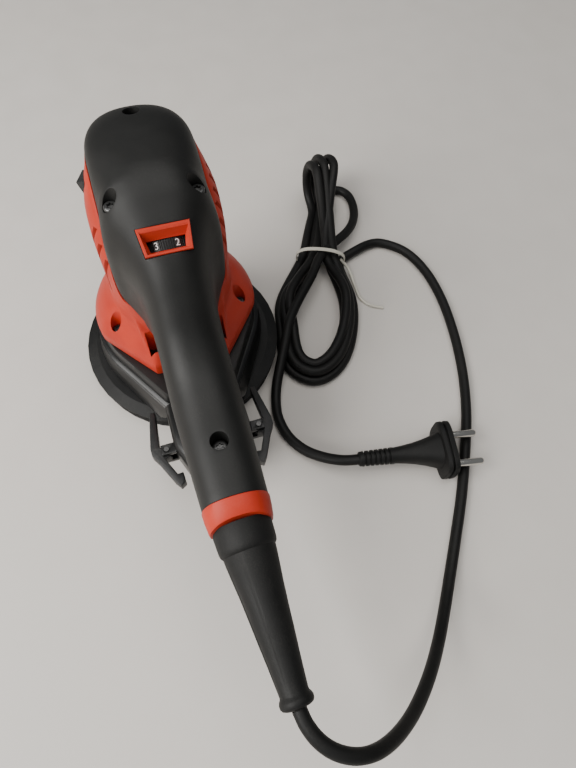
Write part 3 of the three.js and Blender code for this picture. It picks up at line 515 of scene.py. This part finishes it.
# ------------------------------------------------------------------ cover and handle
# Rows: x, lowest z and highest z of the whole section, half-width, squareness, joint height.
HEAD_AND_HANDLE = [
    [-46.5, 149.7, 151.3, 1.6, 2.1, 150.4], [-46.1, 147.6, 153.4, 7.4, 2.1, 150.4],
    [-44.7, 144.6, 156.4, 13.4, 2.15, 150.4], [-42, 141.7, 159.1, 18.2, 2.2, 150.4],
    [-38, 139.2, 161.4, 21.8, 2.25, 150.3], [-33, 137, 163.2, 24.4, 2.3, 150.1],
    [-27, 135, 164.5, 26.1, 2.35, 149.7], [-20, 133, 165.1, 26.8, 2.4, 149],
    [-12, 127, 165.4, 26.9, 2.5, 146], [-5, 117, 165.3, 27.1, 2.6, 141], [1, 102, 165.1, 27.4, 2.7, 133.5],
    [5, 90, 164.8, 27.7, 2.8, 127.5], [9.5, 76, 163.9, 28.6, 2.95, 119], [14, 62, 162.4, 29.4, 3.0, 110],
    [18.5, 56, 160.3, 29.4, 3.1, 102.5], [23, 54, 157.5, 28.2, 3.15, 96.5], [29, 57, 153.7, 24.2, 3.2, 92],
    [36, 61, 149, 20.8, 3.1, 90], [42, 64, 144.9, 18.8, 2.85, 90], [50, 65.4, 138.4, 17.5, 2.6, 90],
    [60, 66.2, 127.9, 17.1, 2.45, 90], [70, 67, 118, 17.2, 2.4, 90], [84, 68, 109.4, 17.5, 2.35, 90],
    [100, 68.5, 106, 17.4, 2.35, 90], [122, 69, 104.4, 16.8, 2.35, 90], [146, 69.6, 102.6, 16, 2.35, 90]]


def section_ring(row, upper, columns):
    """One section: a superellipse arc above or below the joint height, closed straight across."""
    x, low, high, half, power, joint = row
    joint = joint + 0.15 if upper else joint - 0.15
    middle, tall = (low + high) / 2, (high - low) / 2
    rise = np.clip((joint - middle) / tall, -0.999, 0.999)
    start = np.arcsin(np.sign(rise) * np.abs(rise) ** (power / 2))
    a = np.linspace(start, (math.pi if upper else -math.pi) - start, columns)
    y, z = half * bend(np.cos(a), 2 / power), middle + tall * bend(np.sin(a), 2 / power)
    across = np.linspace(y[-1], y[0], 10)[1:-1]
    ring = np.column_stack([np.r_[y, across], np.r_[z, np.full(8, z[0])]])
    return np.column_stack([np.full(len(ring), x), ring])


ROOF_SLOPE = math.radians(34)
WINDOW_HALF, WINDOW_FRONT, WINDOW_REAR = 6.6, 12.5, 11.1


def roof_point(u, v, w):
    """A point about the speed window: u down the slope, v across, w out of the roof."""
    s, c = math.sin(ROOF_SLOPE), math.cos(ROOF_SLOPE)
    return np.stack([36.5 + u * c + w * s, v + 0 * u, 148.5 - u * s + w * c], -1)


def window_block(grow, low, high):
    """The speed window's outline, wider in front than behind, from one height to another."""
    length, front, rear = WINDOW_HALF + grow, WINDOW_FRONT + grow, WINDOW_REAR + grow
    u, v = np.array([-length, length, length, -length]), np.array([-front, -rear, rear, front])
    return lofted(np.array([roof_point(u, v, np.full(4, w)) for w in (low, high)]))


def screw_hole(x, y, low, high, radius, mouth=0.0):
    """An upright round pocket, widening a little towards its mouth."""
    rows = []
    a = np.linspace(0, 2 * math.pi, 40, endpoint=False)
    for z, r in ((low, radius), (high, radius + mouth)):
        rows.append(np.column_stack([x + r * np.cos(a), y + r * np.sin(a), np.full(40, z)]))
    return lofted(np.array(rows))


SIDE_SCREW, FRONT_SCREW_X, HANDLE_SCREW_X = (14, 20.3), -33, 120
FOOT_SCREWS = ((15, 37.2), (-24, 32.4))

sections = smooth_rows(HEAD_AND_HANDLE, 6)
cover_grid = np.array([section_ring(row, True, 64) for row in sections])
cover = build("soft_cover", *lofted(cover_grid), soft_black, None)
cut(cover, window_block(0.25, -15, 12),
    *[screw_hole(SIDE_SCREW[0], s * SIDE_SCREW[1], 149.6, 175, 3.9, 0.5) for s in (-1, 1)],
    screw_hole(FRONT_SCREW_X, 0, 155, 175, 4.0, 0.4), screw_hole(HANDLE_SCREW_X, 0, 93, 130, 4.4, 0.3))
soften(cover, 0.45, soft_black, 40)
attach(cover, "root")
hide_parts("top_cover")

lower_rows = smooth_rows([r for r in HEAD_AND_HANDLE if r[0] >= 36], 6)
lower_grid = np.array([section_ring([r[0], max(r[1], 64.0), *r[2:]], False, 48) for r in lower_rows])
lower = build("handle_underside", *lofted(lower_grid), soft_black, None)
cut(lower, screw_hole(HANDLE_SCREW_X, 0, 60, 73.4, 4.2))
soften(lower, 0.45, soft_black, 40)
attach(lower, "root")
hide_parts("handle_lower")


# ------------------------------------------------------------------ red casing
# Rows: height, the oval's middle x, its half-length and its half-width.
BARREL = [[44, -3, 37.5, 35.8], [64, -3.5, 38, 34.8], [96, -4, 38.5, 34.6], [116, -4.6, 39.2, 34.6],
          [130, -5, 39.4, 34.2], [142, -5.4, 39.6, 33], [150, -5.6, 39.6, 31.4]]
# Rows: height and the flared foot's reach.
FOOT = [[45.1, 48.4], [45.6, 48.9], [47, 49.2], [52.6, 49.1], [54, 48.7], [55, 48.2], [58, 46.9], [61, 45.2],
        [65, 42.4], [69, 39], [72, 35], [78, 28], [90, 14]]


FOOT_RADIUS, FOOT_REAR_X, FOOT_REAR_HALF = 49.2, 44.4, 22
FLANK_DISTANCE, FLANK_FACES = 44.9, math.radians(51.5)
SPINE_X, SPINE_START, SPINE_LEAN = 44.2, 51, 0.66


def blunt_circle(angle, radius, rear_x, rear_half):
    """Distance to a round outline whose sides run on as tangents to a blunt rear edge."""
    a = np.abs(angle)
    corner = math.atan2(rear_half, rear_x)
    tangent = corner + math.acos(min(1, radius / math.hypot(rear_x, rear_half)))
    return np.where(a <= corner, rear_x / np.cos(np.minimum(a, corner)),
                    np.where(a < tangent, radius / np.cos(np.minimum(tangent - a, 1.2)), radius))


def soft_max(a, b, width):
    """The larger of two lengths, rounded where they cross."""
    return (a + b + np.sqrt((a - b) ** 2 + width ** 2)) / 2


def soft_min(a, b, width):
    """The smaller of two lengths, rounded where they cross."""
    return (a + b - np.sqrt((a - b) ** 2 + width ** 2)) / 2


def barrel_reach(angle, z):
    """Distance from the motor axis to the barrel's outline, a squarish oval, at each height."""
    table = np.array(BARREL)
    cx, hx, hy = (np.interp(z, table[:, 0], table[:, i]) for i in (1, 2, 3))
    reach = np.full(np.broadcast(angle, z).shape, 35.0)
    for _ in range(30):
        x, y = reach * np.cos(angle), reach * np.sin(angle)
        size = (np.abs((x - cx) / hx) ** 2.3 + np.abs(y / hy) ** 2.3) ** (1 / 2.3)
        reach = reach / size ** 0.8
    return reach


def casing_grid():
    """Rings round the motor axis from the foot to the cover's joint line. The reach is the larger
    of the flared foot, the sloping spine under the handle and the barrel, which draws in to the
    cover's edge over its top 17 mm. The foot is a circle run on as tangents to a blunt rear edge,
    and cut back by a flat on each rear flank."""
    a = np.linspace(-math.pi, math.pi, 192, endpoint=False)
    edge = np.array([[r[0], r[3] * (1 - abs((r[5] - (r[1] + r[2]) / 2) / ((r[2] - r[1]) / 2)) ** r[4])
                      ** (1 / r[4]), r[5]] for r in sections if r[0] <= 24])
    around = np.arctan2(edge[:, 1], edge[:, 0])[::-1]
    reach_edge = np.interp(np.abs(a), around, np.hypot(edge[:, 0], edge[:, 1])[::-1])
    top = np.interp(np.abs(a), around, edge[::-1, 2])
    rear = np.clip((np.radians(52) - np.abs(a)) / np.radians(20), 0, 1)
    top = top * (1 - rear) + 91.0 * rear - 0.2
    levels = np.r_[45.1, 45.5, 46.2, 47.5, 50, 52.5, 54:64.5:1, 65.5, 67, 69, 72]
    rows = [np.full(len(a), z) for z in levels]
    rows += [72 + (top - 72) * s for s in np.linspace(0, 1, 42)[1:]]
    z = np.array(rows)
    foot = np.array(FOOT)
    foot_reach = np.interp(z, foot[:, 0], foot[:, 1])
    shape = blunt_circle(a, FOOT_RADIUS, FOOT_REAR_X, FOOT_REAR_HALF)[None] / FOOT_RADIUS
    flat = FLANK_DISTANCE / FOOT_RADIUS / np.maximum(np.cos(np.abs(a) - FLANK_FACES), 0.3)[None]
    shape = soft_min(shape, flat, 0.012)
    base = foot_reach * shape
    barrel = barrel_reach(a[None] + 0 * z, z)
    down = np.clip((top[None] - z) / 17, 0, 1)
    drawn = np.where(np.abs(a) > np.radians(40), reach_edge + 0.6, barrel)
    barrel = drawn + (barrel - drawn) * np.sin(down * math.pi / 2) ** 0.75
    spine_x = np.where(z < SPINE_START, SPINE_X, SPINE_X - SPINE_LEAN * (z - SPINE_START))
    corner = FOOT_REAR_HALF + 0.13 * np.clip(z - SPINE_START, 0, 60)
    spine_rear = spine_x / np.maximum(np.cos(a)[None], 0.05)
    tilt = (32.0 - corner) / (spine_x + 4)
    spine_side = ((corner + tilt * spine_x)
                  / (np.abs(np.sin(a))[None] + tilt * np.maximum(np.cos(a)[None], 0)))
    spine = np.where(np.cos(a)[None] > 0.05, soft_min(spine_rear, spine_side, 0.8), 0)
    reach = soft_max(soft_max(base, barrel, 2.6), spine, 0.9) - 0.05
    reach = np.minimum(reach, np.maximum(shape * FOOT_RADIUS, barrel + 0.4))
    return np.stack([reach * np.cos(a), reach * np.sin(a), z], -1)


def block(x0, x1, y0, y1, z0, z1, turn=0.0):
    """An upright block, turned about the motor axis by an angle in degrees."""
    c, s = math.cos(math.radians(turn)), math.sin(math.radians(turn))
    corners = np.array([[x0, y0], [x1, y0], [x1, y1], [x0, y1]])
    flat = corners @ np.array([[c, s], [-s, c]])
    return lofted(np.array([np.column_stack([flat, np.full(4, z)]) for z in (z0, z1)]))


def louvre(x, sign, high):
    """A leaning slot between two vent bars."""
    rows = []
    for z, shift in ((86, -1.5), (high, 1.5)):
        flat = np.array([[x - 1.15 + shift, 22 * sign], [x + 1.15 + shift, 22 * sign],
                         [x + 1.15 + shift, 42 * sign], [x - 1.15 + shift, 42 * sign]])
        rows.append(np.column_stack([flat, np.full(4, z)]))
    return lofted(np.array(rows))


LOUVRES_RIGHT = [(-20, 142), (-15, 141), (-10, 138.5), (-5, 134), (0, 129), (5, 122), (10, 115)]
LOUVRES_LEFT = [(-10, 112), (-5, 112), (0, 128), (5, 121), (10, 114)]
grid = casing_grid()
casing_points, casing_faces = lofted(grid)
casing_points[-1] = [0, 0, 98]
casing = build("red_casing", casing_points, casing_faces, red_shell, None)
cut(casing, *[screw_hole(x, s * y, 54, 72, 3.5, 0.4) for x, y in FOOT_SCREWS for s in (-1, 1)],
    *[louvre(x, 1, high) for x, high in LOUVRES_RIGHT],
    *[louvre(x, -1, high) for x, high in LOUVRES_LEFT],
    *[block(31, 40, min(14.6 * s, 22.6 * s), max(14.6 * s, 22.6 * s), 50, 80) for s in (-1, 1)],
    block(-12.7, 1.3, -50, -34.2, 117.5, 141.2, -28.5))
soften(casing, 0.35, red_shell, 34, 34)
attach(casing, "root")
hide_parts("motor_housing")


# ------------------------------------------------------------------ dust shroud
def shroud_grid():
    """Rings of the shroud: a skirt swelling to the rear, a pinched seam with two lips, and a
    narrower collar up to the red casing. Rows: height, the round front's radius, how far back the
    blunt rear edge is, and its half-width."""
    a = np.linspace(-math.pi, math.pi, 160, endpoint=False)
    levels = [[17, 52.6, 60, 27], [17.5, 53.1, 60.6, 27], [22, 53.4, 61, 27], [28, 52.4, 62.6, 24.4],
              [32.4, 51.3, 64, 21.8], [33.4, 51.2, 64.2, 21.4], [33.9, 50.4, 63.6, 21],
              [34.3, 50.4, 63.6, 21], [34.7, 51.3, 64.4, 21], [36.2, 51.2, 64.4, 20.8],
              [37, 50.2, 63.6, 20], [37.3, 48.8, 62.4, 19.6], [41, 48.1, 61.2, 19.2],
              [44.3, 47.5, 60.2, 19], [44.8, 47, 59.8, 18.8]]
    rings = []
    for z, radius, rear_x, rear_half in levels:
        reach = blunt_circle(a, radius, rear_x, rear_half)
        reach = (np.roll(reach, 1) + 2 * reach + np.roll(reach, -1)) / 4
        rings.append(np.column_stack([reach * np.cos(a), reach * np.sin(a), np.full(len(a), z)]))
    under = [np.column_stack([r * np.cos(a), r * np.sin(a), np.full(len(a), z)])
             for r, z in ((14, 33.6), (47.8, 33.6), (48, 17.2))]
    return np.array(under + rings)


build("gloss_shroud", *lofted(shroud_grid()), gloss_black, "root", "gloss_black_plastic", 32,
      ("dust_shroud",))
refined("dust_outlet", "outlet_body", gloss_black, 0.6)
for side in ("left", "right"):
    refined(f"latch_{side}", f"outlet_latch_{side}", plain_black, 0.45)


# ------------------------------------------------------------------ screws
def screw(name, cad, x, y, top, bottom, radius, shank):
    """A pan head with a six-lobed socket, on a plain shank: the head's top is a low dome that drops
    inside a lobed outline."""
    a = np.linspace(0, 2 * math.pi, 60, endpoint=False)
    lobes = radius * 0.52 * (1 + 0.16 * np.cos(6 * a))
    rows = []
    for r, z in ((shank, bottom), (shank, top - 2.3), (radius - 0.25, top - 2.3), (radius, top - 2),
                 (radius, top - 0.7), (radius * 0.9, top - 0.2), (radius * 0.72, top)):
        rows.append(np.column_stack([x + r * np.cos(a), y + r * np.sin(a), np.full(60, z)]))
    for share, z in ((1, top), (0.96, top - 1.4), (0.3, top - 1.6)):
        reach = share * lobes
        rows.append(np.column_stack([x + reach * np.cos(a), y + reach * np.sin(a), np.full(60, z)]))
    build(name, *lofted(np.array(rows)), screw_black, "root", "dark_steel", 40, (cad,))


for side, sign in (("left", -1), ("right", 1)):
    screw(f"cover_fixing_{side}", f"cover_screw_{side}", SIDE_SCREW[0], sign * SIDE_SCREW[1], 152.6, 128,
          3.4, 1.6)
    for n, (x, y) in enumerate(FOOT_SCREWS, 1):
        screw(f"foot_fixing_{side}_{n}", f"base_screw_{side}_{n}", x, sign * y, 58.4, 40.4, 3.1, 1.8)
screw("cover_fixing_front", "cover_screw_front", FRONT_SCREW_X, 0, 157.8, 136, 3.4, 1.6)
screw("handle_fixing", "handle_screw", HANDLE_SCREW_X, 0, 96, 75, 3.8, 1.7)


# ------------------------------------------------------------------ speed control
def bezel():
    """The window's red frame: a flat rim and four walls sloping in to a smaller opening."""
    loops = []
    for grow, w in ((-0.05, -6), (-0.05, 0.5), (-0.35, 0.95), (-1.25, 0.95), (-1.6, 0.6), (-3.6, -3.0),
                    (-4.1, -3.4), (-4.1, -6), (-0.05, -6)):
        ahead, behind, wide, narrow = (1.375, 0.55, 0.8, 0.7) if grow < -1.4 else (1, 1, 1, 1)
        u = np.array([-WINDOW_HALF - grow * ahead, WINDOW_HALF + grow * behind])
        v = np.array([WINDOW_FRONT + grow * wide, WINDOW_REAR + grow * narrow])
        n = 9
        lines = [(np.full(n, u[0]), np.linspace(v[0], -v[0], n)),
                 (np.linspace(u[0], u[1], n), -np.linspace(v[0], v[1], n)),
                 (np.full(n, u[1]), np.linspace(-v[1], v[1], n)),
                 (np.linspace(u[1], u[0], n), np.linspace(v[1], v[0], n))]
        uu = np.concatenate([p[0][:-1] for p in lines])
        vv = np.concatenate([p[1][:-1] for p in lines])
        loops.append(roof_point(uu, vv, np.full(len(uu), w)))
    grid = np.array(loops)
    return grid.reshape(-1, 3), sheet_faces(*grid.shape[:2], True)


frame_points, frame_faces = bezel()
build("speed_bezel", frame_points, [f[::-1] for f in frame_faces], red_shell, "root", "red_plastic", 30,
      ("dial_bezel",))

DIAL_RADIUS, DIAL_DEPTH, DIAL_SHIFT = 13.0, 16.5, 1.8


def thumbwheel():
    """A wheel on a cross axis whose rim carries rounded knurls between plain numbered lands."""
    a = np.linspace(0, 2 * math.pi, 360, endpoint=False)
    knurl = 0.55 * (np.cos(72 * a) > 0.1) * (np.cos(8 * a) > -0.5)
    rows = []
    for v, r in ((-2.8, 9), (-2.8, 12.3), (-2.5, 12.85), (-2.3, DIAL_RADIUS), (2.3, DIAL_RADIUS),
                 (2.5, 12.85), (2.8, 12.3), (2.8, 9)):
        reach = r - (knurl if r > 12 else 0)
        rows.append(np.stack([DIAL_SHIFT + v * np.ones_like(a), reach * np.sin(a),
                              reach * np.cos(a) - DIAL_DEPTH], -1))
    grid = np.array(rows)
    return lofted(roof_point(grid[..., 0], grid[..., 1], grid[..., 2]))


build("speed_wheel", *thumbwheel(), plain_black, "dial", "black_plastic", 30, ("speed_dial",))
for number in range(1, 7):
    text = bpy.data.curves.new(f"numeral_{number}", "FONT")
    text.body, text.size, text.extrude = str(number), 4.7, 0.12
    text.align_x, text.align_y, text.resolution_u = "CENTER", "CENTER", 3
    shown = bpy.data.objects.new(f"numeral_source_{number}", text)
    bpy.context.scene.collection.objects.link(shown)
    bpy.context.view_layer.update()
    mesh = bpy.data.meshes.new_from_object(shown.evaluated_get(bpy.context.evaluated_depsgraph_get()))
    bpy.data.objects.remove(shown)
    flat = np.array([v.co for v in mesh.vertices], float).reshape(-1, 3)
    turn = math.radians(45 * (2.5 - number))
    around = turn + flat[:, 0] / DIAL_RADIUS
    reach = DIAL_RADIUS + 0.02 + flat[:, 2]
    placed = roof_point(DIAL_SHIFT - flat[:, 1], reach * np.sin(around), reach * np.cos(around) - DIAL_DEPTH)
    mesh.vertices.foreach_set("co", (placed * MM).astype(np.float32).ravel())
    mesh.update()
    numeral = bpy.data.objects.new(f"speed_numeral_{number}", mesh)
    bpy.context.scene.collection.objects.link(numeral)
    settle(numeral, numeral_white, 30)
    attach(numeral, "dial")

refined("power_slide", "switch_button", plain_black, 0.5)


# ------------------------------------------------------------------ handle's ring, boot and plug
def ring_grid():
    """The red ring: the handle's squarish section, proud by a little, with a curved rear edge that
    reaches furthest at the sides."""
    rows = []
    a = np.linspace(0, 2 * math.pi, 96, endpoint=False)
    for x, low, high, half, lean in (
            (146.3, 70.6, 101.6, 15.2, 0), (146.3, 69.4, 102.8, 16.2, 0), (146.8, 69.2, 103, 16.4, 0.1),
            (151, 69.5, 102.3, 16.1, 0.5), (156, 70.2, 100.9, 15.4, 1), (157, 70.7, 100.2, 15, 1),
            (157, 74, 97, 12, 0.8)):
        y, z = half * bend(np.cos(a), 0.84), (low + high) / 2 + (high - low) / 2 * bend(np.sin(a), 0.84)
        rows.append(np.column_stack([x - 2.2 * lean * np.sin(a) ** 2, y, z]))
    return np.array(rows)


build("handle_band", *lofted(ring_grid()), red_shell, "root", "red_plastic", 40, ("handle_ring",))

BOOT_START, BOOT_END = np.array([157.3, 0, 85.0]), np.array([234, 2.6, 77.4])


def sleeve_axes(start, end):
    """Unit directions along a straight line, level across it, and square to both."""
    along = (end - start) / np.linalg.norm(end - start)
    side = np.cross([0, 0, 1], along)
    side /= np.linalg.norm(side)
    return along, side, np.cross(along, side)


def boot_grid():
    """The rubber boot: a round collar, a long taper with two shallow flats down its sides, and a
    rolled flange at the lead. Rows: distance along, radius, and how far the flats are cut in."""
    along, side, up = sleeve_axes(BOOT_START, BOOT_END)
    a = np.linspace(0, 2 * math.pi, 72, endpoint=False)
    rows = []
    for s, half, flat in ((-2.4, 10, 0), (-2.4, 13.6, 0), (0.4, 14.2, 0), (8, 13.8, 0), (9.6, 13.5, 0),
                          (10.4, 12.9, 0.1), (10.8, 12.5, 0.2), (14, 12.2, 0.7), (20, 11.5, 1),
                          (28, 10.5, 1), (38, 9.5, 1), (48, 8.6, 1), (58, 7.6, 0.9), (66, 6.9, 0.6),
                          (71, 6.5, 0.2), (72, 6.7, 0), (72.8, 7.3, 0), (74, 7.7, 0), (75.4, 7.6, 0),
                          (76.4, 6.9, 0), (76.9, 5.8, 0), (76.9, 3.5, 0)):
        dent = 0.55 * flat * (np.abs(np.cos(a + 0.6)) > 0.86)
        reach = half - dent
        centre = BOOT_START + along * s
        rows.append(centre + np.outer(reach * np.cos(a), side) + np.outer(reach * 1.01 * np.sin(a), up))
    return np.array(rows)


boot = build("lead_boot", *lofted(boot_grid()), boot_rubber, "root", "rubber", 38, ("cord_boot",))

PLUG_FACE, PLUG_TURN = np.array([131, 142, 13.0]), math.radians(79.5)


def plug_grid():
    """The plug's body as superellipse rings along its axis: a front flange with a groove round it,
    a waist that narrows to the strain relief, and six ribs on the strain relief. Rows: distance
    back, half-width, half-height and squareness."""
    back = np.array([-math.cos(PLUG_TURN), -math.sin(PLUG_TURN), 0])
    side = np.array([-math.sin(PLUG_TURN), math.cos(PLUG_TURN), 0])
    up = np.array([0, 0, 1.0])
    a = np.linspace(0, 2 * math.pi, 80, endpoint=False)
    stations = [(0, 16.4, 11.4, 4), (0.5, 17.2, 12.2, 4), (3, 17.4, 12.4, 4), (3.4, 17, 12, 4),
                (3.6, 15.4, 10.8, 4), (4.5, 15.4, 10.8, 4), (4.7, 17, 12, 4), (5.1, 17.4, 12.4, 4),
                (7.4, 17.2, 12.2, 4), (7.9, 16.4, 11.4, 4), (8.1, 11, 10.2, 3), (12, 9.6, 9.6, 2.8),
                (18, 7.9, 8.6, 2.5), (24, 6.6, 7.4, 2.3), (30, 5.7, 6.3, 2.2), (37, 5, 5.4, 2)]
    for i in range(6):
        s, r = 38.2 + 3.05 * i, 5.3 - 0.08 * i
        stations += [(s + ahead, r - drop, r - drop, 2)
                     for ahead, drop in ((0, 0), (1.7, 0.1), (1.9, 1.1), (2.8, 1.1))]
    stations += [(56.6, 4.9, 4.9, 2), (59, 4.6, 4.6, 2), (59.6, 4.0, 4.0, 2)]
    rows = []
    for s, half, tall, power in stations:
        rows.append(PLUG_FACE + back * s + np.outer(half * bend(np.cos(a), 2 / power), side)
                    + np.outer(tall * bend(np.sin(a), 2 / power), up))
    return np.array(rows), back, side


grid, plug_back, plug_side = plug_grid()
plug = build("plug_moulding", *lofted(grid), boot_rubber, "root", "rubber", 30, ("plug_body",))
for i, sign in enumerate((-1, 1)):
    foot = PLUG_FACE + plug_side * sign * 9.5
    outwards = -plug_back
    a = np.linspace(0, 2 * math.pi, 32, endpoint=False)
    rows = [foot + outwards * s + np.outer(r * np.cos(a), plug_side) + np.outer(r * np.sin(a), [0, 0, 1])
            for s, r in ((-3, 2.4), (17.2, 2.4), (18.2, 2.1), (18.8, 1.5), (19, 0.8))]
    build(f"plug_prong_{i + 1}", *lofted(np.array(rows)), nickel, "root", "nickel", 30,
                      (f"plug_pin_{i + 1}",))

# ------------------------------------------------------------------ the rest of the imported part
for material, names in CAD_FINISHES.items():
    for name in names:
        nodes[name].data.materials.clear()
        nodes[name].data.materials.append(material)

floor_mesh = bpy.data.meshes.new("floor")
floor_mesh.from_pydata([(-4, -4, 0), (4, -4, 0), (4, 4, 0), (-4, 4, 0)], [], [(0, 1, 2, 3)])
floor_mesh.materials.append(floor_card)
floor = bpy.data.objects.new("floor", floor_mesh)
bpy.context.scene.collection.objects.link(floor)
